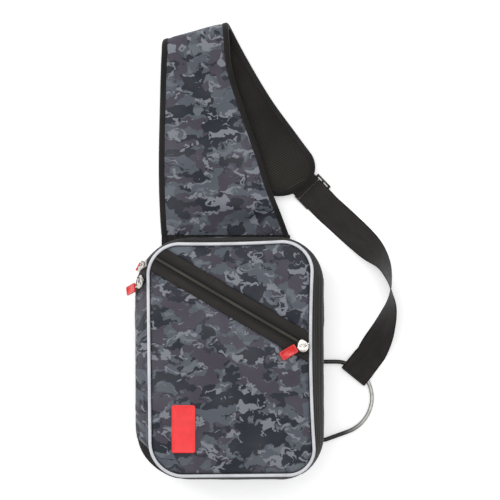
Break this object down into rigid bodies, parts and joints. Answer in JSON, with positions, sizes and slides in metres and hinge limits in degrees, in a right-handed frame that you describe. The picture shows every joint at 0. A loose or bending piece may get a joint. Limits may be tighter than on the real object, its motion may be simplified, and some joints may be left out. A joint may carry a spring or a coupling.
{
  "type": "fishing tackle sling bag",
  "caption": "Soft sling bag with a zipped main compartment, slanting front pocket, piped front edge and a padded shoulder strap joined by webbing to a side ring.",
  "frame": {"origin": "middle of the back panel, on the flat face that the bag lies on", "axes": "+X towards the webbing side, +Y up the bag towards the shoulder strap, +Z out of the front"},
  "size_m": [0.3509, 0.5915, 0.1014],
  "materials": {
    "camouflage_fabric": "woven camouflage print in greys, satin sheen",
    "black_fabric": "plain woven nylon",
    "zip_tape": "ribbed zip tape",
    "zip_coil": "nylon coil",
    "spacer_mesh": "open spacer mesh over foam",
    "webbing": "flat woven webbing",
    "piping": "satin light grey piping",
    "label": "bare moulded patch",
    "red_tab": "glossy soft plastic",
    "zip_metal": "bright nickel",
    "ring_metal": "satin nickel",
    "slide_metal": "black lacquer"
  },
  "bodies": {
    "bag": {"rear_gusset": "camouflage_fabric", "side_strip": "camouflage_fabric", "front_panel_upper": "camouflage_fabric", "front_panel_lower": "camouflage_fabric", "strap_face": "camouflage_fabric", "back_panel": "black_fabric", "bottom_strip": "black_fabric", "strap_binding": "black_fabric", "strap_root": "black_fabric", "ring_sleeve": "black_fabric", "zip_end_tab": "black_fabric", "zip_tape_rear": "zip_tape", "zip_tape_front": "zip_tape", "pocket_tape_upper": "zip_tape", "pocket_tape_lower": "zip_tape", "zip_coil": "zip_coil", "pocket_coil": "zip_coil", "strap_pad": "spacer_mesh", "webbing": "webbing", "pad_tab": "webbing", "front_piping": "piping", "label": "label", "pocket_slider": "zip_metal", "side_upper_slider": "zip_metal", "side_lower_slider": "zip_metal", "ring": "ring_metal", "slide": "slide_metal"},
    "pocket_pull": {"pocket_puller": "zip_metal", "pocket_tab": "red_tab"},
    "side_upper_pull": {"side_upper_puller": "zip_metal", "side_upper_tab": "red_tab"},
    "side_lower_pull": {"side_lower_puller": "zip_metal", "side_lower_tab": "red_tab"}
  },
  "joints": [
    {"name": "pocket_pull_hinge", "type": "hinge", "parent": "bag", "child": "pocket_pull", "pos_m": [0.09882, 0.01982, 0.09878], "axis": [-0.515, 0.8572, 0], "range_deg": [0, 150]},
    {"name": "side_upper_pull_hinge", "type": "hinge", "parent": "bag", "child": "side_upper_pull", "pos_m": [-0.11055, 0.12191, 0.08439], "axis": [0.4973, 0.34, 0.7982], "range_deg": [-8, 20]},
    {"name": "side_lower_pull_hinge", "type": "hinge", "parent": "bag", "child": "side_lower_pull", "pos_m": [-0.11515, 0.10167, 0.08509], "axis": [0.4849, 0.5914, 0.6443], "range_deg": [-40, 12]}
  ]
}
